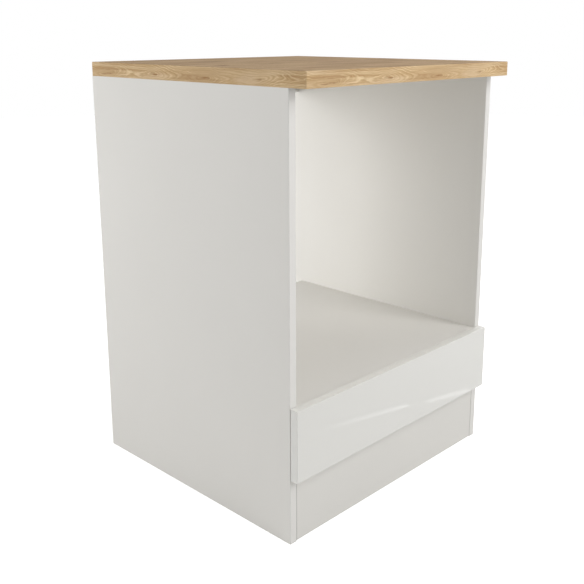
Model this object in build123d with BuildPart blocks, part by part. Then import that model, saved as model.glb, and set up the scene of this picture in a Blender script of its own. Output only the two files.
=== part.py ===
from build123d import *
from math import sqrt
import os

# Oven base cabinet: white faced boards, an oak-look worktop, an open space for a
# built-under oven and one drawer on roller runners below it. Millimetres, X to the
# right, Y to the wall behind, Z up, origin on the floor below the worktop's middle.

# Carcass and worktop
cabinet_width = 600.0
cabinet_depth = 600.0
cabinet_height = 844.0
board = 16.0
worktop_thickness = 28.0
worktop_overhang = 38.0
worktop_softness = 1.5
board_softness = 0.6
shelf_top = 263.0
shelf_back_gap = 28.0
plinth_height = 128.0
plinth_recess = 0.5
plinth_floor_gap = 1.0
rail_height = 60.0

# Drawer front and drawer box
front_gap = 1.3
front_side_reveal = 0.5
front_rise = 2.0
front_drop = 0.5
front_softness = 1.0
buffer_diameter = 8.0
buffer_play = 0.3
buffer_inset = 20.0
drawer_board = 12.0
drawer_under_gap = 8.0
drawer_over_gap = 11.0
bottom_sheet = 3.0
groove_rise = 10.0
groove_depth = 6.0
groove_play = 0.2

# Roller runners
runner_gap = 12.5
runner_step = 50.0
runner_rear_room = 40.0
runner_setback = 2.0
extension_loss = 125.0
sheet = 1.2
bend = 0.6
roller_diameter = 20.0
roller_width = 5.6
roller_softness = 0.5
roller_play = 0.3
tip_play = 0.8
pin_diameter = 6.0
pin_play = 0.05
pin_head_diameter = 9.0
pin_head_length = 0.8
side_play = 0.1
lip_height = 3.5
front_roller_inset = 14.0
rear_roller_inset = 12.0
stop_radius = 4.0
stop_width = 5.0

# Knock-down fittings, dowels and screws. There are many and they are small, so pegs,
# shanks, cams and the holes they sit in have flats in place of a full round.
peg_sides = 8
cam_sides = 16
fitting_setback = 37.0
fitting_step = 32.0
bolt_diameter = 5.0
bolt_in_side = 11.0
bolt_head_diameter = 7.0
bolt_head_length = 2.5
bolt_bore_diameter = 8.0
cam_diameter = 15.0
cam_reach = 34.0
cam_past_axis = 4.5
drawer_cam_diameter = 12.0
drawer_cam_reach = 24.0
drawer_cam_past_axis = 3.8
cam_play = 0.1
dowel_diameter = 8.0
dowel_in_side = 11.0
dowel_in_board = 19.0
worktop_dowel_inset = 100.0
drawer_dowel_diameter = 6.0
drawer_dowel_short = 8.0
drawer_dowel_long = 20.0
screw_head_diameter = 6.0
screw_head_height = 0.8
screw_diameter = 3.5
screw_in_board = 11.0
screw_in_drawer = 10.0
sheet_hole_diameter = 4.0
bracket_leg = 25.0
bracket_width = 20.0
bracket_thickness = 2.0
bracket_spacing = 400.0

# Faces that the pieces share
back = cabinet_depth / 2
carcass_front = worktop_overhang - cabinet_depth / 2
side_depth = back - carcass_front
side_height = cabinet_height - worktop_thickness
outer_half = cabinet_width / 2
inner_half = outer_half - board
shelf_back = back - shelf_back_gap
shelf_under = shelf_top - board
bottom_top = plinth_height + board
rail_middle = side_height - rail_height / 2
rail_front = back - board
plinth_front = carcass_front + plinth_recess
plinth_middle = (plinth_floor_gap + plinth_height) / 2

front_back_face = carcass_front - front_gap
drawer_half = inner_half - runner_gap
drawer_inner_half = drawer_half - drawer_board
runner_length = runner_step * int((side_depth - runner_rear_room) / runner_step)
drawer_rear = front_back_face + runner_length
drawer_side_bottom = bottom_top + drawer_under_gap
drawer_side_top = shelf_under - drawer_over_gap
groove_bottom = drawer_side_bottom + groove_rise
groove_top = groove_bottom + bottom_sheet + groove_play
drawer_travel = runner_length - extension_loss

both_sides = (-1, 1)
up = (0, 0, 1)
down = (0, 0, -1)
to_wall = (0, 1, 0)
to_room = (0, -1, 0)


def place(point, outward, across=None):
    """A spot on a surface, with its Z axis pointing out of the material."""
    return Plane(origin=point, x_dir=across, z_dir=outward).location


def lifted(spots, height):
    """The same spots, moved out of the material by this much."""
    return [spot * Location((0, 0, height)) for spot in spots]


def drill(places, diameter, depth, sides=peg_sides):
    """Blind holes for the fittings, straight into the material."""
    with BuildSketch(*places) as section:
        RegularPolygon(diameter / 2, sides)
    extrude(section.sketch, amount=-depth, mode=Mode.SUBTRACT)


def peg(places, diameter, depth, stand_out):
    """Straight pegs, from this deep in the material to this far out of it."""
    with BuildSketch(*lifted(places, -depth)) as section:
        RegularPolygon(diameter / 2, peg_sides)
    extrude(section.sketch, amount=depth + stand_out)


def inward(side):
    """From a side panel towards the middle of the cabinet."""
    return (-side, 0, 0)


def outward(side):
    """From the middle of the cabinet towards a side panel."""
    return (side, 0, 0)


# Where the fittings meet the side panels: depth and height on the inner faces
shelf_middle = shelf_top - board / 2
bottom_middle = plinth_height + board / 2
rail_depth = back - board / 2
plinth_depth = plinth_front + board / 2
front_fitting = carcass_front + fitting_setback
bolt_spots = {
    "shelf": [(front_fitting, shelf_middle), (shelf_back - fitting_setback, shelf_middle)],
    "bottom": [(front_fitting, bottom_middle), (back - fitting_setback, bottom_middle)],
    "rail": [(rail_depth, rail_middle + fitting_step / 2)],
}
dowel_spots = {
    "shelf": [((carcass_front + shelf_back) / 2, shelf_middle)],
    "bottom": [((carcass_front + back) / 2, bottom_middle)],
    "rail": [(rail_depth, rail_middle - fitting_step / 2)],
    "plinth": [(plinth_depth, plinth_middle + k * fitting_step) for k in both_sides],
}


def on_side(side, spots):
    """Spots on a side panel's inner face."""
    return [place((side * inner_half, y, z), inward(side)) for y, z in spots]


def on_board_ends(spots):
    """The same spots on both ends of a board that runs between the side panels."""
    return [place((side * inner_half, y, z), outward(side)) for side in both_sides for y, z in spots]


all_bolt_spots = sum(bolt_spots.values(), [])
all_dowel_spots = sum(dowel_spots.values(), [])

# Runner heights and depths, and where the runners are screwed on
channel_bottom = drawer_side_bottom - sheet
track = channel_bottom + sheet
channel_top = track + roller_diameter + tip_play + sheet
rear_roller_height = track + roller_play + roller_diameter / 2
slide_flange_under = channel_top - 2 * sheet - 2 * roller_play
front_roller_height = slide_flange_under - roller_play - roller_diameter / 2
front_roller_depth = carcass_front + runner_setback + front_roller_inset
rear_roller_depth = drawer_rear - rear_roller_inset
channel_front = carcass_front + runner_setback
channel_rear = rear_roller_depth + roller_diameter / 2 + 1.0 + sheet
roller_near = sheet + screw_head_height + 0.4
roller_far = roller_near + roller_width + side_play + pin_head_length + side_play
channel_screw_depths = [carcass_front + fitting_setback, carcass_front + fitting_setback + 12 * fitting_step]
slide_screw_depths = [front_back_face + fitting_setback + 1.5 * fitting_step, drawer_rear - 2 * fitting_step]
channel_screw_height = (channel_bottom + channel_top) / 2
slide_screw_height = track + lip_height + roller_play + screw_head_diameter / 2
channel_screw_spots = [(y, channel_screw_height) for y in channel_screw_depths]
slide_screw_spots = [(y, slide_screw_height) for y in slide_screw_depths]

# Side panels: faced board, edged where it shows, drilled on the inner face only
with BuildPart() as side_panel_left:
    with BuildSketch(Plane.YZ.offset(-outer_half)):
        with Locations(((carcass_front + back) / 2, side_height / 2)):
            Rectangle(side_depth, side_height)
    extrude(amount=board)
    chamfer(side_panel_left.edges().filter_by(Axis.Z), board_softness)
    drill(on_side(-1, all_bolt_spots), bolt_diameter, bolt_in_side)
    drill(on_side(-1, all_dowel_spots), dowel_diameter, dowel_in_side)
    drill(on_side(-1, channel_screw_spots), screw_diameter, screw_in_board)
    worktop_dowel_depths = (carcass_front + worktop_dowel_inset, back - worktop_dowel_inset)
    dowels_above = [place((-outer_half + board / 2, y, side_height), up) for y in worktop_dowel_depths]
    drill(dowels_above, dowel_diameter, dowel_in_board)

with BuildPart() as side_panel_right:
    mirror(side_panel_left.part, about=Plane.YZ)

# Worktop: a thick board flush with the sides and the back, standing out in front
with BuildPart() as worktop:
    with BuildSketch(Plane.XY.offset(side_height)):
        Rectangle(cabinet_width, cabinet_depth)
    extrude(amount=worktop_thickness)
    chamfer(worktop.edges().filter_by(Axis.Z), worktop_softness)
    fillet(worktop.faces().sort_by(Axis.Z)[-1].edges(), worktop_softness)
    worktop_dowel_places = [
        place((side * (outer_half - board / 2), y, side_height), down)
        for side in both_sides
        for y in worktop_dowel_depths
    ]
    drill(worktop_dowel_places, dowel_diameter, dowel_in_side)
    bracket_columns = [side * bracket_spacing / 2 for side in both_sides]
    bracket_hole = bracket_leg * 0.6
    worktop_screw_places = [place((x, rail_front - bracket_hole, side_height), down) for x in bracket_columns]
    drill(worktop_screw_places, screw_diameter, screw_in_board)

# Oven shelf and bottom panel: cams from below, dowels and bolts in the ends


def cut_for_fittings(bolts, dowels, cam_places, cam_bore):
    """Bores a carcass board between the sides for its bolts, dowels and cams."""
    drill(on_board_ends(bolts), bolt_bore_diameter, cam_reach)
    drill(on_board_ends(dowels), dowel_diameter, dowel_in_board)
    drill(cam_places, cam_diameter, cam_bore, cam_sides)


cam_depth = board / 2 + cam_past_axis
cam_line = inner_half - cam_reach


def cams_below(spots):
    """Cam places on the underside of a level board, turned to its two ends."""
    return [
        place((side * cam_line, y, z - board / 2), down, outward(side))
        for side in both_sides
        for y, z in spots
    ]


cam_places = cams_below(bolt_spots["shelf"] + bolt_spots["bottom"]) + [
    place((side * cam_line, back, z), to_wall, outward(side)) for side in both_sides for y, z in bolt_spots["rail"]
]

with BuildPart() as oven_shelf:
    with BuildSketch(Plane.XY.offset(shelf_under)):
        with Locations((0, (carcass_front + shelf_back) / 2)):
            Rectangle(2 * inner_half, shelf_back - carcass_front)
    extrude(amount=board)
    chamfer(oven_shelf.edges().filter_by(Axis.X), board_softness)
    cut_for_fittings(bolt_spots["shelf"], dowel_spots["shelf"], cams_below(bolt_spots["shelf"]), cam_depth)

with BuildPart() as bottom_panel:
    with BuildSketch(Plane.XY.offset(plinth_height)):
        with Locations((0, (carcass_front + back) / 2)):
            Rectangle(2 * inner_half, side_depth)
    extrude(amount=board)
    chamfer(bottom_panel.edges().filter_by(Axis.X), board_softness)
    cut_for_fittings(bolt_spots["bottom"], dowel_spots["bottom"], cams_below(bolt_spots["bottom"]), cam_depth)

# Rear rail: upright under the worktop, with its cams reached from behind
with BuildPart() as rear_rail:
    with BuildSketch(Plane.XZ.offset(-back)):
        with Locations((0, rail_middle)):
            Rectangle(2 * inner_half, rail_height)
    extrude(amount=board)
    chamfer(rear_rail.edges().filter_by(Axis.X), board_softness)
    cut_for_fittings(bolt_spots["rail"], dowel_spots["rail"], cam_places[-2:], cam_depth)
    bracket_drop = side_height - bracket_hole
    rail_screw_places = [place((x, rail_front, bracket_drop), to_room) for x in bracket_columns]
    drill(rail_screw_places, screw_diameter, screw_in_board)

# Plinth board: dowelled between the sides, just clear of the floor
with BuildPart() as plinth_board:
    with BuildSketch(Plane.XZ.offset(-plinth_front)):
        with Locations((0, plinth_middle)):
            Rectangle(2 * inner_half, plinth_height - plinth_floor_gap)
    extrude(amount=-board)
    chamfer(plinth_board.edges().filter_by(Axis.X), board_softness)
    drill(on_board_ends(dowel_spots["plinth"]), dowel_diameter, dowel_in_board)

# Cam bolts: screwed into one board, their heads caught in the cams of the other


def cam_bolt(places, reach):
    """Bolts whose heads lie this far from the joint that they cross."""
    peg(places, bolt_diameter, bolt_in_side, reach)
    peg(lifted(places, reach), bolt_head_diameter, bolt_head_length / 2, bolt_head_length / 2)


with BuildPart() as cam_bolts:
    for side in both_sides:
        cam_bolt(on_side(side, all_bolt_spots), cam_reach)

# Cam lock: a slotted drum that turns in the board and draws the bolt's head in


def cam_lock(diameter, depth, axis_depth):
    """A cam with its driven face at height 0 and its open flank towards +X."""
    with BuildPart() as lock:
        with BuildSketch():
            RegularPolygon(diameter / 2 - cam_play, cam_sides)
        extrude(amount=-depth)
        with BuildSketch(Plane.XY.offset(-depth)):
            with Locations((bolt_head_length / 2 - diameter / 4, 0)):
                Rectangle(diameter / 2, bolt_head_diameter + 2 * cam_play)
        extrude(amount=depth - axis_depth + bolt_head_diameter / 2 + cam_play, mode=Mode.SUBTRACT)
        with BuildSketch(Plane.XY.offset(-depth)):
            with Locations((diameter / 4, 0)):
                Rectangle(diameter / 2, bolt_diameter + 2 * cam_play)
        extrude(amount=depth - axis_depth + bolt_diameter / 2 + cam_play, mode=Mode.SUBTRACT)
        with BuildSketch():
            Rectangle(diameter * 0.6, 1.2)
            Rectangle(1.2, diameter * 0.6)
        extrude(amount=-1.5, mode=Mode.SUBTRACT)
    return lock.part


with BuildPart() as cam_locks:
    with Locations(*cam_places):
        add(cam_lock(cam_diameter, cam_depth, board / 2))

# Dowels: fluted beech pegs across each joint
with BuildPart() as wooden_dowels:
    for side in both_sides:
        peg(on_side(side, all_dowel_spots), dowel_diameter, dowel_in_side, dowel_in_board)
    peg(worktop_dowel_places, dowel_diameter, dowel_in_side, dowel_in_board)

# Worktop brackets: small steel angles between the rear rail and the worktop
with BuildPart() as worktop_brackets:
    for x in bracket_columns:
        with BuildSketch(Plane.YZ.offset(x - bracket_width / 2)):
            with BuildLine():
                FilletPolyline(
                    (rail_front, side_height - bracket_leg),
                    (rail_front, side_height),
                    (rail_front - bracket_leg, side_height),
                    radius=bracket_thickness + bend,
                )
                offset(amount=bracket_thickness, side=Side.LEFT)
            make_face()
        extrude(amount=bracket_width)
    bracket_screw_places = worktop_screw_places + rail_screw_places
    drill(lifted(bracket_screw_places, bracket_thickness), sheet_hole_diameter, bracket_thickness)

# Flat-head screws: head above the sheet, shank through it and into the board


def screw(places, sheet_thickness, in_board):
    """Screws that stand on a board's surface through a sheet of this thickness."""
    peg(places, screw_diameter, in_board, sheet_thickness)
    peg(lifted(places, sheet_thickness), screw_head_diameter, 0, screw_head_height)


with BuildPart() as bracket_screws:
    screw(bracket_screw_places, bracket_thickness, screw_in_board)

# Cabinet runners: rolled channels with a track, a guiding lip, a pressed stop for
# the drawer's roller and a closed end, screwed to the side panels


def across_gap(distance):
    """X of a point this far from the right side panel, across the runner gap."""
    return inner_half - distance


def roller_pins(places, stand_off):
    """Pins on a runner's web: a collar, the shank that a roller turns on, and a head."""
    roller_end = stand_off + roller_width + side_play
    peg(places, pin_head_diameter, 0, stand_off - side_play)
    with BuildSketch(*places) as shank:
        Circle(pin_diameter / 2)
    extrude(shank.sketch, amount=roller_end)
    peg(lifted(places, roller_end), pin_head_diameter, 0, pin_head_length)


channel_pin_places = [
    place((side * across_gap(sheet), front_roller_depth, front_roller_height), inward(side)) for side in both_sides
]
channel_roller_offset = roller_near - sheet
lip_near = roller_far + roller_play
rear_roller_forward = rear_roller_depth - drawer_travel
stop_reach = roller_diameter / 2 + stop_radius + roller_play
stop_depth = rear_roller_forward - sqrt(stop_reach**2 - (rear_roller_height - track) ** 2)

with BuildPart() as runner_cabinet_right:
    with BuildSketch(Plane.XZ.offset(-channel_front)):
        with BuildLine():
            FilletPolyline(
                (across_gap(roller_far), channel_top),
                (across_gap(0), channel_top),
                (across_gap(0), channel_bottom),
                (across_gap(lip_near + sheet), channel_bottom),
                (across_gap(lip_near + sheet), track + lip_height),
                radius=bend + sheet,
            )
            offset(amount=sheet, side=Side.RIGHT)
        make_face()
    extrude(amount=-(channel_rear - channel_front))
    # the front roller's bay: the web alone goes on to the front end
    roller_bay = front_roller_inset + roller_diameter / 2 + 2.0
    with BuildSketch(Plane.YZ.offset(across_gap(sheet))):
        with Locations((channel_front + roller_bay / 2, (channel_bottom + channel_top) / 2)):
            Rectangle(roller_bay, channel_top - channel_bottom)
    extrude(amount=-runner_gap, mode=Mode.SUBTRACT)
    # the stop: a half-round ridge pressed up out of the track
    stop_length = roller_near + stop_width - sheet
    with BuildSketch(Plane.YZ.offset(across_gap(sheet))):
        with Locations((stop_depth, track)):
            Circle(stop_radius)
            Rectangle(2 * stop_radius, stop_radius, align=(Align.CENTER, Align.MAX), mode=Mode.SUBTRACT)
    extrude(amount=-stop_length)
    with BuildSketch(Plane.YZ.offset(across_gap(sheet))):
        with Locations((stop_depth, track)):
            Circle(stop_radius - sheet)
    extrude(amount=-stop_length, mode=Mode.SUBTRACT)
    # the closed rear end
    with BuildSketch(Plane.XZ.offset(-channel_rear)):
        with Locations((across_gap((sheet + roller_far) / 2), (channel_bottom + channel_top) / 2)):
            Rectangle(roller_far - sheet, channel_top - channel_bottom - 2 * sheet)
    extrude(amount=sheet)
    drill(lifted(on_side(1, channel_screw_spots), sheet), sheet_hole_diameter, sheet)

with BuildPart() as runner_cabinet_left:
    mirror(runner_cabinet_right.part, about=Plane.YZ)

with BuildPart() as roller_pins_cabinet:
    roller_pins(channel_pin_places, channel_roller_offset)

with BuildPart() as runner_screws_cabinet:
    for side in both_sides:
        screw(on_side(side, channel_screw_spots), sheet, screw_in_board)

# Drawer runners: Z-shaped profiles, a leg under the drawer side, a web beside it
# and a flange that rides on the cabinet's front roller
slide_web_face = drawer_half + sheet
slide_flange_rear = rear_roller_depth - roller_diameter / 2 - 2.0
slide_roller_offset = (runner_gap - sheet) - roller_far
slide_pin_places = [
    place((side * slide_web_face, rear_roller_depth, rear_roller_height), outward(side)) for side in both_sides
]


def on_drawer(side, spots):
    """Spots on a drawer side's outer face."""
    return [place((side * drawer_half, y, z), outward(side)) for y, z in spots]


with BuildPart() as runner_drawer_right:
    with BuildSketch(Plane.XZ.offset(-front_back_face)):
        with BuildLine():
            FilletPolyline(
                (drawer_inner_half, drawer_side_bottom - sheet),
                (slide_web_face, drawer_side_bottom - sheet),
                (slide_web_face, slide_flange_under),
                (across_gap(roller_near), slide_flange_under),
                radius=[bend + sheet, bend],
            )
            offset(amount=sheet, side=Side.LEFT)
        make_face()
    extrude(amount=-runner_length)
    # the flange ends ahead of the drawer's own roller
    with BuildSketch(Plane.YZ.offset(slide_web_face)):
        with Locations((slide_flange_rear, slide_flange_under)):
            Rectangle(drawer_rear - slide_flange_rear, sheet, align=Align.MIN)
    extrude(amount=runner_gap, mode=Mode.SUBTRACT)
    drill(lifted(on_drawer(1, slide_screw_spots), sheet), sheet_hole_diameter, sheet)

with BuildPart() as runner_drawer_left:
    mirror(runner_drawer_right.part, about=Plane.YZ)

with BuildPart() as roller_pins_drawer:
    roller_pins(slide_pin_places, slide_roller_offset)

with BuildPart() as runner_screws_drawer:
    for side in both_sides:
        screw(on_drawer(side, slide_screw_spots), sheet, screw_in_drawer)

# Rollers: moulded nylon, turning on the pins with a little play
with BuildPart() as one_roller:
    with BuildSketch():
        Circle(roller_diameter / 2)
        Circle(pin_diameter / 2 + pin_play, mode=Mode.SUBTRACT)
    extrude(amount=roller_width)
    rims = one_roller.edges().filter_by(GeomType.CIRCLE).group_by(SortBy.RADIUS)[-1]
    chamfer(rims, roller_softness)


def roller_at(pin_place, roller_offset):
    """A roller on its pin."""
    with BuildPart() as roller:
        with Locations(*lifted([pin_place], roller_offset)):
            add(one_roller.part)
    return roller


roller_cabinet_left = roller_at(channel_pin_places[0], channel_roller_offset)
roller_cabinet_right = roller_at(channel_pin_places[1], channel_roller_offset)
roller_drawer_left = roller_at(slide_pin_places[0], slide_roller_offset)
roller_drawer_right = roller_at(slide_pin_places[1], slide_roller_offset)

# Drawer sides: thin boards grooved for the bottom, drilled for front and back
drawer_cam_height = drawer_side_top - 22.0
drawer_dowel_height = groove_top + 12.0
front_dowel_line = drawer_half - drawer_board / 2
back_dowel_depth = drawer_rear - drawer_board / 2
back_dowel_heights = (groove_top + fitting_step / 2, drawer_side_top - fitting_step / 2)
drawer_cam_depth = drawer_board / 2 + drawer_cam_past_axis


def front_joint(side, height, direction):
    """A spot on the plane between a drawer side's end and the drawer front."""
    return place((side * front_dowel_line, front_back_face, height), direction)


def back_joints(side, direction):
    """The spots on a drawer side's inner face, at the drawer back."""
    return [place((side * drawer_inner_half, back_dowel_depth, z), direction) for z in back_dowel_heights]


def drawer_cam_place(side):
    """The spot of a drawer cam on the outer face of a drawer side."""
    return place(
        (side * drawer_half, front_back_face + drawer_cam_reach, drawer_cam_height), outward(side), to_room
    )


with BuildPart() as drawer_side_right:
    with BuildSketch(Plane.YZ.offset(drawer_inner_half)):
        with Locations((front_back_face, drawer_side_bottom)):
            Rectangle(runner_length, drawer_side_top - drawer_side_bottom, align=(Align.MIN, Align.MIN))
    extrude(amount=drawer_board)
    chamfer(drawer_side_right.edges().filter_by(Axis.Y), board_softness)
    with BuildSketch(Plane.YZ.offset(drawer_inner_half)):
        with Locations((front_back_face, groove_bottom)):
            Rectangle(runner_length, bottom_sheet + groove_play, align=(Align.MIN, Align.MIN))
    extrude(amount=groove_depth, mode=Mode.SUBTRACT)
    drill([front_joint(1, drawer_cam_height, to_room)], bolt_bore_diameter, drawer_cam_reach)
    drill([front_joint(1, drawer_dowel_height, to_room)], drawer_dowel_diameter, drawer_dowel_long)
    drill(back_joints(1, inward(1)), drawer_dowel_diameter, drawer_dowel_short)
    drill(on_drawer(1, slide_screw_spots), screw_diameter, screw_in_drawer)
    drill([drawer_cam_place(1)], drawer_cam_diameter, drawer_cam_depth, cam_sides)

with BuildPart() as drawer_side_left:
    mirror(drawer_side_right.part, about=Plane.YZ)

# Drawer back: stands on the bottom sheet between the drawer sides
drawer_back_bottom = groove_bottom + bottom_sheet
with BuildPart() as drawer_back:
    with BuildSketch(Plane.XZ.offset(-drawer_rear)):
        with Locations((0, drawer_back_bottom)):
            Rectangle(
                2 * drawer_inner_half,
                drawer_side_top - drawer_back_bottom,
                align=(Align.CENTER, Align.MIN),
            )
    extrude(amount=drawer_board)
    chamfer(drawer_back.edges().filter_by(Axis.X), board_softness)
    for side in both_sides:
        drill(back_joints(side, outward(side)), drawer_dowel_diameter, drawer_dowel_long)

# Drawer bottom: hardboard in the grooves of the sides and the front
bottom_clearance = 0.5
with BuildPart() as drawer_bottom:
    with BuildSketch(Plane.XY.offset(groove_bottom)):
        with Locations((0, front_back_face - groove_depth + bottom_clearance)):
            Rectangle(
                2 * (drawer_inner_half + groove_depth - bottom_clearance),
                runner_length + groove_depth - bottom_clearance,
                align=(Align.CENTER, Align.MIN),
            )
    extrude(amount=bottom_sheet)

# Drawer front: gloss board laid over the carcass edges, grooved behind
front_bottom = plinth_height - front_drop
front_top = shelf_top + front_rise
with BuildPart() as drawer_front:
    with BuildSketch(Plane.XZ.offset(-front_back_face)):
        with Locations((0, front_bottom)):
            Rectangle(
                cabinet_width - 2 * front_side_reveal,
                front_top - front_bottom,
                align=(Align.CENTER, Align.MIN),
            )
    extrude(amount=board)
    fillet(drawer_front.faces().sort_by(Axis.Y)[0].edges(), front_softness)
    with BuildSketch(Plane.XZ.offset(-front_back_face)):
        with Locations((0, groove_bottom)):
            Rectangle(
                2 * (drawer_inner_half + groove_depth),
                bottom_sheet + groove_play,
                align=(Align.CENTER, Align.MIN),
            )
    extrude(amount=groove_depth, mode=Mode.SUBTRACT)
    front_bolt_places = [front_joint(side, drawer_cam_height, to_wall) for side in both_sides]
    front_dowel_places = [front_joint(side, drawer_dowel_height, to_wall) for side in both_sides]
    drill(front_bolt_places, bolt_diameter, bolt_in_side)
    drill(front_dowel_places, drawer_dowel_diameter, drawer_dowel_short)

# Drawer fittings
with BuildPart() as drawer_cam_bolts:
    cam_bolt(front_bolt_places, drawer_cam_reach)

with BuildPart() as drawer_cam_locks:
    with Locations(*[drawer_cam_place(side) for side in both_sides]):
        add(cam_lock(drawer_cam_diameter, drawer_cam_depth, drawer_board / 2))

with BuildPart() as drawer_dowels:
    peg(front_dowel_places, drawer_dowel_diameter, drawer_dowel_short, drawer_dowel_long)
    for side in both_sides:
        peg(back_joints(side, inward(side)), drawer_dowel_diameter, drawer_dowel_short, drawer_dowel_long)

# Buffers: soft discs that meet the side panels' front edges
with BuildPart() as front_buffers:
    for side in both_sides:
        for z in (front_bottom + buffer_inset, front_top - buffer_inset):
            buffer_place = place((side * (outer_half - board / 2), front_back_face, z), to_wall)
            peg([buffer_place], buffer_diameter, 0, front_gap - buffer_play)

pieces = {
    "side_panel_left": side_panel_left,
    "side_panel_right": side_panel_right,
    "worktop": worktop,
    "oven_shelf": oven_shelf,
    "bottom_panel": bottom_panel,
    "rear_rail": rear_rail,
    "plinth_board": plinth_board,
    "cam_bolts": cam_bolts,
    "cam_locks": cam_locks,
    "wooden_dowels": wooden_dowels,
    "worktop_brackets": worktop_brackets,
    "bracket_screws": bracket_screws,
    "runner_cabinet_left": runner_cabinet_left,
    "runner_cabinet_right": runner_cabinet_right,
    "roller_pins_cabinet": roller_pins_cabinet,
    "runner_screws_cabinet": runner_screws_cabinet,
    "runner_drawer_left": runner_drawer_left,
    "runner_drawer_right": runner_drawer_right,
    "roller_pins_drawer": roller_pins_drawer,
    "runner_screws_drawer": runner_screws_drawer,
    "roller_cabinet_left": roller_cabinet_left,
    "roller_cabinet_right": roller_cabinet_right,
    "roller_drawer_left": roller_drawer_left,
    "roller_drawer_right": roller_drawer_right,
    "drawer_front": drawer_front,
    "drawer_side_left": drawer_side_left,
    "drawer_side_right": drawer_side_right,
    "drawer_back": drawer_back,
    "drawer_bottom": drawer_bottom,
    "drawer_cam_bolts": drawer_cam_bolts,
    "drawer_cam_locks": drawer_cam_locks,
    "drawer_dowels": drawer_dowels,
    "front_buffers": front_buffers,
}

os.makedirs("parts", exist_ok=True)
for name, piece in pieces.items():
    piece.part.label = name
    export_step(piece.part, "parts/" + name + ".step")

print("drawer travel", drawer_travel)
print("roller turns per metre of travel, in radians", 2000 / roller_diameter)
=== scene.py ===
from math import cos, pi, radians, sin

import bmesh
import bpy
from mathutils import Matrix, Vector


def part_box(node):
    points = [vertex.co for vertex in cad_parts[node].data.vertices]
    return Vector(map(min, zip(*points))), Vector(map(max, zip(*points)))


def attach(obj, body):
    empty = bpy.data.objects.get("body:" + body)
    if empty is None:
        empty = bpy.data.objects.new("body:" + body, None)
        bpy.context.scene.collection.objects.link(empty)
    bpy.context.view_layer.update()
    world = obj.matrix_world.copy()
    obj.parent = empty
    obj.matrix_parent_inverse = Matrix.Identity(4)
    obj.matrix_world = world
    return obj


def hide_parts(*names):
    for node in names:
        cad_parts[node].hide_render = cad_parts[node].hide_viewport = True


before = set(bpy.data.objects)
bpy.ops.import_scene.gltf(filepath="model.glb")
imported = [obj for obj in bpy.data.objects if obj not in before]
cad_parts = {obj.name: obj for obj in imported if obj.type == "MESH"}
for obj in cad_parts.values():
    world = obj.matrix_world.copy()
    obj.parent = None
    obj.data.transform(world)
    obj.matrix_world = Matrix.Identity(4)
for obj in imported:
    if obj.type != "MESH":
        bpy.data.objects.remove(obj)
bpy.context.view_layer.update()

# The place where the cabinet stands: a white floor with no walls, a soft even sky, two
# large soft lamps in front, one at the right and one behind at the left. Two narrow
# lamps behind shine in by the open back, on the inner side and down on the shelf. The
# camera looks slightly down at the near front corner.

camera_data = bpy.data.cameras.new("camera")
camera_data.lens = 52.04
camera_data.shift_x = -0.0205
camera_data.shift_y = -0.103
camera = bpy.data.objects.new("camera", camera_data)
camera.location = (-1.2623, -1.2163, 0.9022)
camera.rotation_euler = (radians(76.695), 0, radians(-46.268))
bpy.context.scene.collection.objects.link(camera)
bpy.context.scene.camera = camera
bpy.context.scene.view_settings.view_transform = "Standard"


def put(tree, kind, inputs=None, **settings):
    """Adds a shader node. Inputs are numbers, colours or other nodes' outputs."""
    made = tree.nodes.new("ShaderNode" + kind)
    for name, value in settings.items():
        setattr(made, name, value)
    for name, value in (inputs or {}).items():
        if isinstance(value, bpy.types.NodeSocket):
            tree.links.new(value, made.inputs[name])
        else:
            made.inputs[name].default_value = value
    return made


def calc(tree, operation, *values):
    """One sum on numbers that change over the surface."""
    return put(tree, "Math", dict(enumerate(values)), operation=operation).outputs[0]


def noise(tree, vector, scale, detail, **more):
    """Soft noise from 0 to 1. The scale is in spots a metre."""
    inputs = {"Vector": vector, "Scale": scale, "Detail": detail, **more}
    return put(tree, "TexNoise", inputs).outputs[0]


def varied(tree, base, value, by):
    """A base number, raised by up to this much where a value goes from 0 to 1."""
    return calc(tree, "MULTIPLY_ADD", value, by, base)


def ramp(tree, value, low, high, to_low=0.0, to_high=1.0, how="LINEAR"):
    """Takes a part of a value's range to another range, with no overshoot."""
    inputs = {0: value, 1: low, 2: high, 3: to_low, 4: to_high}
    return put(tree, "MapRange", inputs, interpolation_type=how).outputs[0]


def seen_directly(tree):
    """1 where the camera, a reflection or a clear piece looks at the surroundings."""
    rays = put(tree, "LightPath").outputs
    either = calc(tree, "MAXIMUM", rays["Is Camera Ray"], rays["Is Glossy Ray"])
    return calc(tree, "MAXIMUM", either, rays["Is Transmission Ray"])


sky_light = 0.38
world = bpy.data.worlds.new("white_studio")
world.use_nodes = True
bpy.context.scene.world = world
sky = world.node_tree
sky.nodes.clear()
seen = seen_directly(sky)
soft = put(sky, "Background", {"Color": (1, 1, 1, 1), "Strength": sky_light})
white = put(sky, "Background", {"Color": (1, 1, 1, 1), "Strength": 1})
either_sky = put(sky, "MixShader", {0: seen, 1: soft.outputs[0], 2: white.outputs[0]})
put(sky, "OutputWorld", {"Surface": either_sky.outputs[0]})


def lamp(name, power, size, at, towards, beam=180):
    """A square soft lamp that faces a point. Its beam is the full angle that it lights."""
    light = bpy.data.lights.new(name, "AREA")
    light.energy, light.size, light.spread = power, size, radians(beam)
    made = bpy.data.objects.new(name, light)
    made.location = at
    made.rotation_euler = (Vector(towards) - Vector(at)).to_track_quat("-Z", "Y").to_euler()
    bpy.context.scene.collection.objects.link(made)


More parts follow.
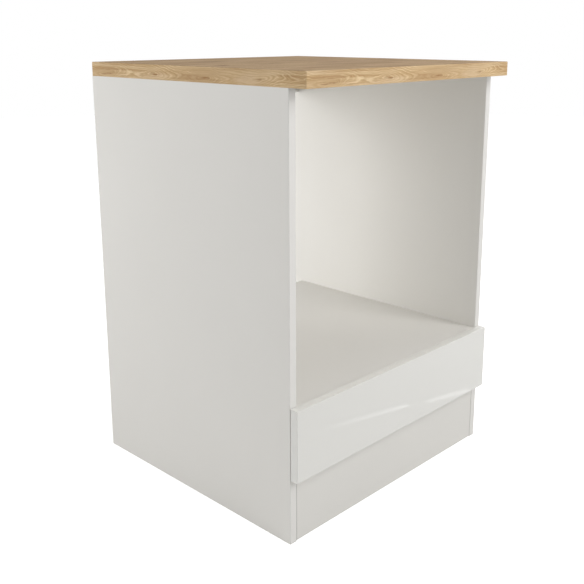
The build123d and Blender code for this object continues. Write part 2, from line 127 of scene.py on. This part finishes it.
cabinet_middle = (0, 0, 0.4)
lamp("high_front_lamp", power=31, size=1.6, at=(0.7, -2.5, 2.55), towards=cabinet_middle)
lamp("low_front_lamp", power=22.5, size=1.6, at=(0.5, -2.9, 1.6), towards=cabinet_middle)
lamp("left_lamp", power=36, size=1.4, at=(-2.45, 1.85, 0.85), towards=(0, 0.2, 0.5))
lamp("right_lamp", power=16, size=1.6, at=(2.8, 0, 1.2), towards=cabinet_middle)
inner_side = (0.284, 0.02, 0.5)
lamp("back_lamp", power=1.6, size=0.4, at=(-0.25, 1.4, 0.44), towards=inner_side, beam=76)
shelf_top = (-0.12, -0.05, 0.263)
lamp("shelf_lamp", power=0.15, size=0.4, at=(0.3, 1.4, 0.95), towards=shelf_top, beam=40)


def material(name):
    """A new material, emptied but for its output."""
    made = bpy.data.materials.new(name)
    made.use_nodes = True
    made.node_tree.nodes.clear()
    return made


# The floor glows only for what looks straight at it: it shows as white, keeps the
# cabinet's shadow and gives it no more light than a pale floor would.
floor_radius = 8.0
floor_glow = 0.76
floor_shade = 0.8
floor_paint = material("floor_paint")
tree = floor_paint.node_tree
place = put(tree, "TexCoord").outputs["Object"]
grit = noise(tree, place, 240, 3)
matt = put(tree, "BsdfDiffuse", {"Color": (*[floor_shade] * 3, 1), "Roughness": 0.6})
rise = put(tree, "Bump", {"Height": grit, "Distance": 0.0002, "Strength": 0.2})
tree.links.new(rise.outputs[0], matt.inputs["Normal"])
glow = put(tree, "Emission", {"Color": (1, 1, 1, 1), "Strength": floor_glow})
dark = put(tree, "Emission", {"Strength": 0})
lift = put(tree, "MixShader", {0: seen_directly(tree), 1: dark.outputs[0], 2: glow.outputs[0]})
both = put(tree, "AddShader", {0: matt.outputs[0], 1: lift.outputs[0]})
put(tree, "OutputMaterial", {"Surface": both.outputs[0]})


def piece(name, bm, finish, smooth=False):
    """Turns a finished bmesh into an object with its material."""
    mesh = bpy.data.meshes.new(name)
    bm.to_mesh(mesh)
    bm.free()
    mesh.materials.append(finish)
    for face in mesh.polygons:
        face.use_smooth = smooth
    made = bpy.data.objects.new(name, mesh)
    bpy.context.scene.collection.objects.link(made)
    return made


disc = bmesh.new()
bmesh.ops.create_circle(disc, cap_ends=True, radius=floor_radius, segments=96)
piece("floor", disc, floor_paint)

# Two narrow strips on the floor glow for reflections alone. They give the gloss front
# its two faint streaks of light. Each has a start, an end and the share of its glow
# that the start has, and fades out across its width.
strip_glow = 1.7
strip_width = 0.028
strip_lift = 0.001
strips = (((0.080, -0.552), (0.318, -0.491), 0.5), ((0.367, -0.467), (0.499, -0.434), 0.8))
for k, (start, end, faint) in enumerate(strips):
    run = Vector(end) - Vector(start)
    strip_light = material("strip_light_" + str(k))
    tree = strip_light.node_tree
    parts = put(tree, "SeparateXYZ", {0: put(tree, "TexCoord").outputs["Object"]}).outputs
    along = ramp(tree, parts[0], 0.0, run.length, faint)
    across = ramp(tree, parts[1], -strip_width, 0.0)
    glow = calc(tree, "MULTIPLY_ADD", calc(tree, "MULTIPLY", along, across), strip_glow, 1.0)
    lit = put(tree, "Emission", {"Color": (1, 1, 1, 1), "Strength": glow})
    put(tree, "OutputMaterial", {"Surface": lit.outputs[0]})
    bm = bmesh.new()
    corners = ((0, 0), (0, -strip_width), (run.length, -strip_width), (run.length, 0))
    bm.faces.new([bm.verts.new((x, y, 0)) for x, y in corners])
    strip = piece("strip_light_" + str(k), bm, strip_light)
    strip.location = (*start, strip_lift)
    strip.rotation_euler.z = run.angle_signed(Vector((1, 0)))
    strip.visible_camera = strip.visible_diffuse = strip.visible_shadow = False

# Worktop: a 28 mm chipboard with a hard-wearing oak decor on its top and its edges
# and plain backing paper below. The grain runs along the length on top, and along
# each edge, where the decor shows tall arches and a few small knots.


def paint(red, green, blue):
    """A colour as read on screen, from 0 to 255, in the light values that shaders use."""
    values = [c / 255 for c in (red, green, blue)]
    return (*[c / 12.92 if c <= 0.04045 else ((c + 0.055) / 1.055) ** 2.4 for c in values], 1)


def effect(name, inputs, outputs):
    """A shader node group with named sockets: its tree, what comes in, what goes out."""
    group = bpy.data.node_groups.new(name, "ShaderNodeTree")
    for label, kind in inputs.items():
        group.interface.new_socket(label, in_out="INPUT", socket_type="NodeSocket" + kind)
    for label, kind in outputs.items():
        group.interface.new_socket(label, in_out="OUTPUT", socket_type="NodeSocket" + kind)
    comes_in = group.nodes.new("NodeGroupInput").outputs
    goes_out = group.nodes.new("NodeGroupOutput").inputs
    return group, comes_in, goes_out


def use(tree, group, inputs):
    """Places an effect in a material with its own values."""
    made = tree.nodes.new("ShaderNodeGroup")
    made.node_tree = group
    for name, value in inputs.items():
        if isinstance(value, bpy.types.NodeSocket):
            tree.links.new(value, made.inputs[name])
        else:
            made.inputs[name].default_value = value
    return made.outputs


def stretched(tree, vector, x, y, z):
    """Texture space in metres, drawn out by different amounts along its axes."""
    return put(tree, "VectorMath", {0: vector, 1: (x, y, z)}, operation="MULTIPLY").outputs[0]


def mixed(tree, share, a, b, how="MIX"):
    """One colour over another."""
    return put(tree, "Mix", {0: share, 6: a, 7: b}, data_type="RGBA", blend_type=how).outputs[2]


def between(tree, share, a, b):
    """One number over another."""
    return put(tree, "Mix", {0: share, 2: a, 3: b}, data_type="FLOAT").outputs[0]


def spread(tree, value, low, high, to_low=0.0, to_high=1.0):
    """Draws out a part of a value's range, with soft ends."""
    return ramp(tree, value, low, high, to_low, to_high, "SMOOTHSTEP")


# The decor's own pattern. X runs along the grain and Y across it, from the middle of
# the board to the reach. Arches nest round knots that stand at even steps on a
# wandering heart line. Streaks, pores and paler and darker zones lie over them.
colour_and_height = {"Color": "Color", "Height": "Float"}
oak, given, result = effect(
    "oak_decor",
    {
        "Place": "Vector",
        "Arches": "Float",
        "Reach": "Float",
        "Pale": "Color",
        "Gold": "Color",
        "Brown": "Color",
        "Patch": "Color",
    },
    colour_and_height,
)


def oak_noise(along, across, detail=2.0):
    """Noise drawn out along the grain, in spots a metre."""
    return noise(oak, stretched(oak, given["Place"], along, across, across), 1, detail)


def there_and_back(value):
    """Falls from 1 to 0 and rises again over each whole step of a value."""
    return calc(oak, "ABSOLUTE", calc(oak, "MULTIPLY_ADD", calc(oak, "FRACT", value), 2, -1))


knot_step = 0.1467
first_knot = -0.24
knot_wander = 1.6
heart_wander, heart_start = 3.0, -1.8
arch_length, arch_width, arch_round = 3.0, 4.2, 0.3
rings_along = 24
ring_waves, ring_grain = 3.8, 0.55
thin_rings = 1.83

parts = put(oak, "SeparateXYZ", {0: given["Place"]}).outputs
heart = varied(oak, heart_start, oak_noise(6, 0), by=heart_wander)
off_heart = calc(oak, "SUBTRACT", calc(oak, "DIVIDE", parts[1], given["Reach"]), heart)
from_knot = calc(oak, "MULTIPLY_ADD", parts[0], pi / knot_step, -pi * first_knot / knot_step)
swing = varied(oak, -knot_wander / 2, oak_noise(9, 0), by=knot_wander)
from_knot = calc(oak, "ADD", from_knot, swing)
depth = calc(oak, "MULTIPLY", calc(oak, "SINE", from_knot), arch_length)
bowed = calc(oak, "MULTIPLY", off_heart, arch_width)
nest = calc(oak, "MULTIPLY_ADD", bowed, bowed, arch_round)
nest = calc(oak, "SQRT", calc(oak, "MULTIPLY_ADD", depth, depth, nest))
rings = varied(oak, nest, parts[0], by=rings_along)
rings = varied(oak, rings, oak_noise(13, 42, 3.0), by=ring_waves)
rings = varied(oak, rings, oak_noise(80, 260), by=ring_grain)
wide = there_and_back(rings)
thin = there_and_back(calc(oak, "MULTIPLY", rings, thin_rings))
strong = spread(oak, oak_noise(11, 35), 0.3, 0.6, 0.15, 0.8)
arch = calc(oak, "MULTIPLY", spread(oak, wide, 0.35, 1.0), strong)
arch = varied(oak, arch, spread(oak, thin, 0.2, 1.0), by=0.45)
streak = spread(oak, oak_noise(5, 210, 4.0), 0.32, 0.68)
figure = between(oak, given["Arches"], streak, arch)
tone = spread(oak, oak_noise(6, 24, 3.0), 0.35, 0.7)
patch = spread(oak, oak_noise(8, 31), 0.48, 0.7)
pores = spread(oak, oak_noise(60, 2200), 0.6, 0.74)
broken = spread(oak, oak_noise(30, 300, 3.0), 0.4, 0.58)
knots = calc(oak, "MULTIPLY", spread(oak, nest, 1.2, 0.6), broken)

# each layer lies over the ones before it, with its share of its own colour
colour = mixed(oak, figure, given["Gold"], given["Pale"])
for layer, share, own in (
    (tone, 0.42, "Brown"),
    (streak, 0.25, "Pale"),
    (patch, 0.4, "Patch"),
    (pores, 0.4, "Brown"),
    (knots, 0.75, "Brown"),
):
    colour = mixed(oak, calc(oak, "MULTIPLY", layer, share), colour, given[own])
raised = calc(oak, "MULTIPLY", figure, 0.4)
oak.links.new(colour, result["Color"])
oak.links.new(calc(oak, "SUBTRACT", raised, pores), result["Height"])


def axes(tree, place, order):
    """The surface's place in metres, with its axes taken in this order."""
    parts = put(tree, "SeparateXYZ", {0: place}).outputs
    return put(tree, "CombineXYZ", {i: parts[axis] for i, axis in enumerate(order)}).outputs[0]


def facing(tree, direction):
    """1 where the surface faces this way, in the piece's own space, and 0 elsewhere."""
    normal = put(tree, "TexCoord").outputs["Normal"]
    inputs = {0: normal, 1: direction}
    towards = put(tree, "VectorMath", inputs, operation="DOT_PRODUCT").outputs["Value"]
    return spread(tree, towards, 0.6, 0.8)


def surface(made, colour, roughness, height, depth, fixed=None):
    """Gives a material its shader. What is fixed has the names of the shader's inputs."""
    tree = made.node_tree
    rise = put(tree, "Bump", {"Height": height, "Distance": depth, "Strength": 1.0})
    inputs = {"Base Color": colour, "Roughness": roughness, "Normal": rise.outputs[0]}
    shader = put(tree, "BsdfPrincipled", {**inputs, **(fixed or {})})
    put(tree, "OutputMaterial", {"Surface": shader.outputs[0]})
    return made


worktop_decor = material("worktop_decor")
tree = worktop_decor.node_tree
place = put(tree, "TexCoord").outputs["Object"]
# The top's decor colours are a darker, browner copy of the edges' ones: painted shade on the top
# face.
shaded_top_colours = {
    "Pale": paint(214, 186, 150),
    "Gold": paint(176, 146, 111),
    "Brown": paint(127, 94, 67),
    "Patch": paint(205, 176, 145),
}
edge_colours = {
    "Pale": paint(234, 210, 169),
    "Gold": paint(188, 152, 107),
    "Brown": paint(145, 100, 59),
    "Patch": paint(222, 198, 165),
}
half_edge = 0.014
top_reach = 0.08
edge_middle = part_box("worktop")[0].z + half_edge
centred = put(tree, "VectorMath", {0: place, 1: (0, 0, -edge_middle)}, operation="ADD").outputs[0]
long_place = axes(tree, centred, "XZY")
end_place = axes(tree, stretched(tree, centred, 1, -1, 1), "YZX")
edge_look = {"Arches": 0.65, "Reach": half_edge, **edge_colours}
top = use(tree, oak, {"Place": centred, "Arches": 0.25, "Reach": top_reach, **shaded_top_colours})
long_edge = use(tree, oak, {"Place": long_place, **edge_look})
end_edge = use(tree, oak, {"Place": end_place, **edge_look})
ends = calc(tree, "MAXIMUM", facing(tree, (1, 0, 0)), facing(tree, (-1, 0, 0)))
round_edges = mixed(tree, ends, long_edge["Color"], end_edge["Color"])
decor = mixed(tree, facing(tree, (0, 0, 1)), round_edges, top["Color"])
paper_noise = noise(tree, place, 420, 4)
paper = mixed(tree, paper_noise, paint(188, 180, 168), paint(206, 199, 188))
decor = mixed(tree, facing(tree, (0, 0, -1)), decor, paper)
grain_height = between(tree, ends, top["Height"], end_edge["Height"])
sheen = varied(tree, 0.66, paper_noise, by=0.12)
faint_shine = {"Specular IOR Level": 0.06}
surface(worktop_decor, decor, sheen, grain_height, depth=0.00006, fixed=faint_shine)


def finish_node(name, made):
    """Gives a node carried over from the frame its material."""
    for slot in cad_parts[name].material_slots:
        slot.material = made


finish_node("worktop", worktop_decor)

# Side panels, shelf, bottom, plinth and rear rail: 16 mm chipboard faced with a matt
# light grey-white foil that has a fine pearl texture. Their visible edges have bands
# of the same foil; the side panels' front edges are painted a shade lighter, as painted
# light, and the plinth a shade darker, as painted shade, with a fine line of painted
# shade at its ends. The edges that face the wall show the bare core.

place_and_tint = {"Place": "Vector", "Tint": "Color"}
faced, given, result = effect("faced_board", place_and_tint, colour_and_height)
pearl = noise(faced, given["Place"], 1400, 2, Roughness=0.6)
cloud = noise(faced, given["Place"], 5, 2)
pressed = noise(faced, given["Place"], 260, 3)
shade = varied(faced, 0.97, cloud, by=0.03)
shade = varied(faced, shade, pressed, by=0.02)
grey = put(faced, "CombineColor", {0: shade, 1: shade, 2: shade}).outputs[0]
faced.links.new(mixed(faced, 1.0, given["Tint"], grey, "MULTIPLY"), result["Color"])
faced.links.new(varied(faced, pearl, pressed, by=0.5), result["Height"])

core, given, result = effect("chipboard_core", {"Place": "Vector"}, colour_and_height)
chip_place = stretched(core, given["Place"], 260, 260, 620)
crumb_place = stretched(core, given["Place"], 900, 900, 1500)
chips = put(core, "TexVoronoi", {"Vector": chip_place, "Scale": 1}).outputs["Color"]
crumbs = put(core, "TexVoronoi", {"Vector": crumb_place, "Scale": 1}).outputs["Color"]
chip_shade = put(core, "SeparateColor", {0: chips}).outputs[0]
crumb_shade = put(core, "SeparateColor", {0: crumbs}).outputs[1]
wood = mixed(core, chip_shade, paint(168, 134, 92), paint(222, 193, 148))
crumbled = mixed(core, calc(core, "MULTIPLY", crumb_shade, 0.4), wood, paint(126, 95, 60))
core.links.new(crumbled, result["Color"])
core.links.new(calc(core, "ADD", chip_shade, crumb_shade), result["Height"])


to_wall = (0, 1, 0)
to_front = (0, -1, 0)
# A fine dark line at the plinth's ends is painted shade, in place of the shadow in its joint with
# the side panels.
joint_shade = paint(178, 176, 171)
seam_width, seam_blur = 0.0014, 0.0002
core_roughness = 0.8


def board_material(name, tint, roughness=0.58, bare=None, flakes="XYZ", band=None, seam=None):
    """Faced board. Bare is the way that the edges with an open core point.

    The core's flakes are thin along the last of their axes. A band is another tint on
    the front edge, a lighter one that is painted light. A seam is the distance from the
    middle at which the board's ends take a fine dark line of painted shade.
    """
    made = material(name)
    tree = made.node_tree
    place = put(tree, "TexCoord").outputs["Object"]
    if band:
        tint = mixed(tree, facing(tree, to_front), tint, band)
    if seam:
        from_middle = calc(tree, "ABSOLUTE", put(tree, "SeparateXYZ", {0: place}).outputs[0])
        joint = spread(tree, from_middle, seam - seam_blur, seam)
        tint = mixed(tree, joint, tint, joint_shade)
    foil = use(tree, faced, {"Place": place, "Tint": tint})
    colour, height = foil["Color"], foil["Height"]
    roughness = varied(tree, roughness, foil["Height"], by=0.06)
    if bare:
        cut = use(tree, core, {"Place": axes(tree, place, flakes)})
        open_edge = facing(tree, bare)
        colour = mixed(tree, open_edge, colour, cut["Color"])
        height = between(tree, open_edge, height, cut["Height"])
        roughness = between(tree, open_edge, roughness, core_roughness)
    low_shine = {"Specular IOR Level": 0.3}
    return surface(made, colour, roughness, height, depth=0.00004, fixed=low_shine)


board_tint = paint(228, 226, 221)
# The side panels' front edges are tinted a shade lighter than the faces: painted light.
front_edge_painted_light_tint = paint(229, 227, 223)
# The plinth is tinted a shade darker than the other boards: painted shade.
plinth_tint_painted_shade = paint(224, 222, 217)
plinth_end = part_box("plinth_board")[1].x
panel_edges = {"bare": to_wall, "flakes": "ZYX", "band": front_edge_painted_light_tint}
panel_board = board_material("panel_board", board_tint, **panel_edges)
bottom_board = board_material("bottom_board", board_tint, bare=to_wall)
shelf_board = board_material("shelf_board", board_tint)
plinth_face = board_material("plinth_face", plinth_tint_painted_shade, seam=plinth_end - seam_width)
for name in ("side_panel_left", "side_panel_right"):
    finish_node(name, panel_board)
finish_node("bottom_panel", bottom_board)
for name in ("oven_shelf", "rear_rail"):
    finish_node(name, shelf_board)
finish_node("plinth_board", plinth_face)

# Cam bolts, cam locks, brackets: zinc-plated steel and die-cast zinc. The dowels are
# beech, pressed and fluted, and hardly seen once the cabinet is put together.

zinc = material("zinc_plate")
tree = zinc.node_tree
place = put(tree, "TexCoord").outputs["Object"]
spangle = put(tree, "TexVoronoi", {"Vector": place, "Scale": 650}).outputs["Color"]
scuff = noise(tree, stretched(tree, place, 900, 120, 900), 1, 3)
spangle_shade = put(tree, "SeparateColor", {0: spangle}).outputs[0]
plate = mixed(tree, spangle_shade, paint(188, 192, 196), paint(214, 214, 208))
dull = varied(tree, 0.24, scuff, by=0.25)
surface(zinc, plate, dull, scuff, depth=0.00002, fixed={"Metallic": 1.0})

beech = material("beech")
tree = beech.node_tree
place = put(tree, "TexCoord").outputs["Object"]
flecks = noise(tree, stretched(tree, place, 300, 1500, 1500), 1, 2)
ray = spread(tree, flecks, 0.55, 0.7)
wood = mixed(tree, ray, paint(222, 190, 150), paint(186, 146, 106))
surface(beech, wood, varied(tree, 0.55, ray, by=0.1), flecks, depth=0.00005)

for name in ("cam_bolts", "cam_locks", "drawer_cam_bolts", "drawer_cam_locks"):
    finish_node(name, zinc)
finish_node("worktop_brackets", zinc)
for name in ("wooden_dowels", "drawer_dowels"):
    finish_node(name, beech)

# Screws: flat round heads with a cross recess and a coarse thread for chipboard. They
# hold the brackets and the four runner profiles.


def solids_of(node):
    """The corner points of each separate solid in a node of the frame."""
    bm = bmesh.new()
    bm.from_mesh(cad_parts[node].data)
    bmesh.ops.remove_doubles(bm, verts=bm.verts, dist=0.000002)
    waiting, found = set(bm.verts), []
    while waiting:
        open_ends, solid = [waiting.pop()], []
        while open_ends:
            corner = open_ends.pop()
            solid.append(corner.co.copy())
            for edge in corner.link_edges:
                other = edge.other_vert(corner)
                if other in waiting:
                    waiting.remove(other)
                    open_ends.append(other)
        found.append(solid)
    bm.free()
    return sorted(found, key=lambda solid: tuple(round(c, 4) for c in solid_middle(solid)))


def solid_middle(solid):
    """The middle of a solid's box."""
    return [(min(p[i] for p in solid) + max(p[i] for p in solid)) / 2 for i in range(3)]


def solid_lengths(solid):
    """The sizes of a solid's box."""
    return [max(p[i] for p in solid) - min(p[i] for p in solid) for i in range(3)]


def placed(at, direction):
    """A placing at a point, with its Z axis along a direction."""
    turn = Vector(direction).to_track_quat("Z", "Y")
    return Matrix.Translation(at) @ turn.to_matrix().to_4x4()


def end_of(solid, sign):
    """A placing at one end of a long solid, with its Z axis along it and outwards.

    The sign, 1 or -1, says to which side of the middle that end lies.
    """
    lengths = solid_lengths(solid)
    axis = lengths.index(max(lengths))
    outward = Vector([sign if i == axis else 0 for i in range(3)])
    return placed(Vector(solid_middle(solid)) + outward * lengths[axis] / 2, outward)


def head_sign(solid):
    """1 or -1: which end of a screw carries its head."""
    middle, lengths = Vector(solid_middle(solid)), solid_lengths(solid)
    axis = lengths.index(max(lengths))
    off = [(sum((p[i] - middle[i]) ** 2 for i in range(3) if i != axis), p[axis]) for p in solid]
    nearly_widest = 0.8 * max(off)[0]
    heads = [at for width, at in off if width > nearly_widest]
    return 1 if sum(heads) / len(heads) > middle[axis] else -1


def turned(bm, profile, around, placing=Matrix(), twist=None):
    """Adds a turned shape from points, each a radius and a height.

    A twist says how far a point stands out at its angle, radius and height.
    """
    rings = []
    for radius, height in profile:
        ring = []
        for k in range(around):
            angle = 2 * pi * k / around
            r = radius + (twist(angle, radius, height) if twist else 0)
            ring.append(bm.verts.new(placing @ Vector((r * cos(angle), r * sin(angle), height))))
        rings.append(ring)
    for low, high in zip(rings, rings[1:]):
        for k in range(around):
            bm.faces.new((low[k], low[(k + 1) % around], high[(k + 1) % around], high[k]))
    return rings


def cross_recess(bm, rim, placing, arm, width, depth):
    """Closes a round head's top, given its rim, with a cross recess that narrows downwards."""
    a, w = arm, width / 2
    outline = [(a, -w), (a, w), (w, w), (w, a), (-w, a), (-w, w)]
    outline += [(-x, -y) for x, y in outline]
    top = [bm.verts.new(placing @ Vector((x, y, 0))) for x, y in outline]
    narrow_x, narrow_y = 0.55, 0.7
    bottom = [Vector((x * narrow_x, y * narrow_y, -depth)) for x, y in outline]
    low = [bm.verts.new(placing @ corner) for corner in bottom]
    count = len(outline)
    edges = [bm.edges.new((top[k], top[(k + 1) % count])) for k in range(count)]
    edges += [bm.edges.get((rim[k], rim[(k + 1) % len(rim)])) for k in range(len(rim))]
    up = placing.to_3x3() @ Vector((0, 0, 1))
    bmesh.ops.triangle_fill(bm, use_beauty=True, edges=edges, normal=up)
    for k in range(count):
        bm.faces.new((top[k], top[(k + 1) % count], low[(k + 1) % count], low[k]))
    bm.faces.new(low)


# Turned shapes are given by points, each a radius and a height. The pole is the radius
# of the tiny flat at their ends.
pole = 0.0001
thread_pitch = 0.0016
thread_depth = 0.0005
thread_sharpness = 5
thread_steps = 4
screw_core = 0.0012
screw_tip = 0.003
screw_neck_length = 0.0006
screw_head_height = 0.0008
screw_neck = 0.0017
screw_head = ((0.0029, -screw_head_height), (0.003, -0.0006), (0.003, -0.0004), (0.0025, 0))


def thread(angle, radius, height):
    """How far the thread stands out from the screw's core at this angle and height."""
    if radius != screw_core:
        return 0
    turn = (height / thread_pitch + angle / (2 * pi)) % 1
    return thread_depth * max(0, 1 - abs(turn - 0.5) * thread_sharpness)


def screw(bm, placing, length):
    """A screw whose head's top is at the placing's origin."""
    step = thread_pitch / thread_steps
    steps = int((length - screw_head_height - screw_tip) / step)
    profile = [(pole, -length)]
    profile += [(screw_core, -length + screw_tip + k * step) for k in range(steps)]
    profile += [(screw_neck, -screw_head_height - screw_neck_length)]
    profile += [(screw_neck, -screw_head_height), *screw_head]
    rings = turned(bm, profile, 24, placing, thread)
    bm.faces.new(list(reversed(rings[0])))
    cross_recess(bm, rings[-1], placing, arm=0.0016, width=0.0007, depth=0.0012)


def screws_for(node, body):
    """Detailed screws in place of a node's plain ones."""
    bm = bmesh.new()
    for solid in solids_of(node):
        screw(bm, end_of(solid, head_sign(solid)), max(solid_lengths(solid)))
    bmesh.ops.recalc_face_normals(bm, faces=bm.faces)
    made = piece(node + "_detailed", bm, zinc)
    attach(made, body)
    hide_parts(node)


screws_for("bracket_screws", "cabinet")
screws_for("runner_screws_cabinet", "cabinet")
screws_for("runner_screws_drawer", "drawer")

# Roller runners: rolled steel, painted white. A nylon roller turns on a riveted pin
# at the front of each cabinet profile and at the back of each drawer profile.

runner_paint = material("runner_paint")
tree = runner_paint.node_tree
place = put(tree, "TexCoord").outputs["Object"]
peel = noise(tree, place, 900, 2)
dust = noise(tree, place, 60, 4)
coat = mixed(tree, dust, paint(232, 232, 229), paint(222, 223, 221))
surface(runner_paint, coat, varied(tree, 0.26, dust, by=0.12), peel, depth=0.00003)
for end in ("left", "right"):
    finish_node("runner_cabinet_" + end, runner_paint)
    finish_node("runner_drawer_" + end, runner_paint)

pin_head_height = 0.0008
pin_shank_length = 0.0057
pin_play = 0.0001
pin_collar = 0.0045
pin_shank = 0.003
pin_foot = ((pole, 0), (0.0044, 0), (0.0045, 0.0002))
pin_dome = (
    (0.0043, -pin_head_height),
    (0.0045, -0.0006),
    (0.0042, -0.00035),
    (0.0032, -0.00012),
    (0.0018, -0.00002),
    (pole, 0),
)


def pins_for(node, body, away):
    """Riveted pins: a collar on the web, the shank in the roller and a domed head.

    Away is 1 where the heads point away from the cabinet's middle and -1 where they
    point towards it.
    """
    bm = bmesh.new()
    for solid in solids_of(node):
        side = 1 if solid_middle(solid)[0] > 0 else -1
        total = solid_lengths(solid)[0]
        collar = total - pin_head_height - pin_shank_length - pin_play
        profile = [(radius, -total + height) for radius, height in pin_foot]
        profile += [(pin_collar, -total + collar), (pin_shank, -total + collar)]
        profile += [(pin_shank, -pin_head_height), *pin_dome]
        rings = turned(bm, profile, 40, end_of(solid, side * away))
        bm.faces.new(list(reversed(rings[0])))
        bm.faces.new(rings[-1])
    bmesh.ops.recalc_face_normals(bm, faces=bm.faces)
    made = piece(node + "_detailed", bm, zinc)
    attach(made, body)
    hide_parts(node)


pins_for("roller_pins_cabinet", "cabinet", -1)
pins_for("roller_pins_drawer", "drawer", 1)

nylon = material("nylon")
tree = nylon.node_tree
place = put(tree, "TexCoord").outputs["Object"]
milk = noise(tree, place, 180, 3)
tyre = mixed(tree, milk, paint(236, 234, 226), paint(224, 221, 210))
waxy = {"Subsurface Weight": 0.12}
surface(nylon, tyre, varied(tree, 0.3, milk, by=0.15), milk, depth=0.00002, fixed=waxy)


def roller_for(node, body):
    """A moulded roller: crowned tread, a sunk web with three ejector marks, and a hub."""
    low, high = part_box(node)
    middle, width, radius = (low + high) / 2, high.x - low.x, (high.z - low.z) / 2
    half = width / 2
    bore, hub, rim = 0.00305, 0.0052, radius - 0.0022
    soft, sunk = 0.0003, 0.0011
    face = [(bore, half - 0.0002), (bore + 0.0002, half)]
    face += [(hub - soft, half), (hub, half - soft), (hub + soft, half - sunk)]
    face += [(rim - soft, half - sunk), (rim, half - soft), (rim + soft, half)]
    face += [(radius - 0.0006, half), (radius - 0.00015, half - soft), (radius, half - 0.001)]
    profile = face + [(r, -h) for r, h in reversed(face)]
    bm = bmesh.new()
    around = 72
    placing = placed(middle, (1, 0, 0))
    rings = turned(bm, profile, around, placing)
    first, last = rings[0], rings[-1]
    for k in range(around):
        after = (k + 1) % around
        bm.faces.new((last[k], last[after], first[after], first[k]))
    mark_circle, mark_radius, mark_height, marks = 0.0066, 0.0006, 0.0001, 3
    for side in (-1, 1):
        up = side * mark_height
        mark_profile = [(pole, up), (mark_radius - 0.00005, up), (mark_radius, 0)]
        mark_profile += [(mark_radius, -up)]
        for k in range(marks):
            angle = 2 * pi * k / marks
            across, along = mark_circle * cos(angle), mark_circle * sin(angle)
            at = placing @ Matrix.Translation((across, along, side * (half - sunk)))
            mark = turned(bm, mark_profile, 16, at)
            bm.faces.new(mark[0])
            bm.faces.new(mark[-1])
    bmesh.ops.recalc_face_normals(bm, faces=bm.faces)
    made = piece(node + "_moulded", bm, nylon)
    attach(made, body)
    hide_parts(node)


for carrier in ("cabinet", "drawer"):
    for end in ("left", "right"):
        roller_for("roller_" + carrier + "_" + end, carrier + "_roller_" + end)

# Drawer box: 12 mm chipboard wrapped in smooth white foil, and a 3 mm hardboard
# bottom, painted white above and bare brown below, that slides into the grooves.

drawer_foil = board_material("drawer_foil", paint(233, 232, 228), roughness=0.34)
for name in ("drawer_side_left", "drawer_side_right", "drawer_back"):
    finish_node(name, drawer_foil)

hardboard = material("hardboard")
tree = hardboard.node_tree
place = put(tree, "TexCoord").outputs["Object"]
fibre = noise(tree, place, 700, 5, Roughness=0.7)
felt = mixed(tree, fibre, paint(120, 84, 54), paint(164, 124, 84))
painted = use(tree, faced, {"Place": place, "Tint": paint(232, 231, 227)})
above = facing(tree, (0, 0, 1))
sheet_colour = mixed(tree, above, felt, painted["Color"])
sheet_roughness = between(tree, above, 0.75, 0.3)
surface(hardboard, sheet_colour, sheet_roughness, fibre, depth=0.00003)
finish_node("drawer_bottom", hardboard)

# Drawer front: chipboard with a high-gloss white foil on its face and edges, which
# mirrors the room with a faint waviness, and a matt white back.

gloss = material("gloss_white")
tree = gloss.node_tree
place = put(tree, "TexCoord").outputs["Object"]
wave = noise(tree, place, 9, 1)
peel = noise(tree, place, 190, 2)
behind = facing(tree, to_wall)
matt_back = use(tree, faced, {"Place": place, "Tint": paint(228, 227, 223)})
shine = mixed(tree, peel, paint(221, 220, 215), paint(223, 222, 217))
# The upward-facing top edge is painted lighter than the face: a painted highlight.
shine = mixed(tree, facing(tree, (0, 0, 1)), shine, paint(238, 237, 232))
front_colour = mixed(tree, behind, shine, matt_back["Color"])
front_roughness = varied(tree, 0.05, behind, by=0.38)
ripple = varied(tree, calc(tree, "MULTIPLY", peel, 0.05), wave, by=2.0)
lacquer = {"Coat Weight": 0.4, "Coat Roughness": 0.04}
surface(gloss, front_colour, front_roughness, ripple, depth=0.00006, fixed=lacquer)
finish_node("drawer_front", gloss)

# Buffers: four clear soft discs stuck to the back of the front, which meet the side
# panels' front edges without a knock.

clear = material("clear_buffer")
tree = clear.node_tree
place = put(tree, "TexCoord").outputs["Object"]
haze = noise(tree, place, 500, 2)
tint = mixed(tree, haze, paint(240, 241, 238), paint(228, 230, 226))
see_through = {"Transmission Weight": 0.85, "IOR": 1.46}
surface(clear, tint, varied(tree, 0.12, haze, by=0.1), haze, depth=0.00001, fixed=see_through)

# the dome's radii, each with its share of the buffer's thickness
dome = (
    (pole, 0),
    (0.0037, 0),
    (0.0039, 0.15),
    (0.0038, 0.5),
    (0.0034, 0.78),
    (0.0025, 0.93),
    (0.0012, 1),
    (pole, 1),
)
bm = bmesh.new()
for solid in solids_of("front_buffers"):
    middle = solid_middle(solid)
    depths = [p.y for p in solid]
    thick = max(depths) - min(depths)
    profile = [(radius, thick * share) for radius, share in dome]
    rings = turned(bm, profile, 40, placed((middle[0], min(depths), middle[2]), to_wall))
    bm.faces.new(list(reversed(rings[0])))
    bm.faces.new(rings[-1])
bmesh.ops.recalc_face_normals(bm, faces=bm.faces)
buffers = piece("front_buffers_domed", bm, clear, smooth=True)
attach(buffers, "drawer")
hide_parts("front_buffers")
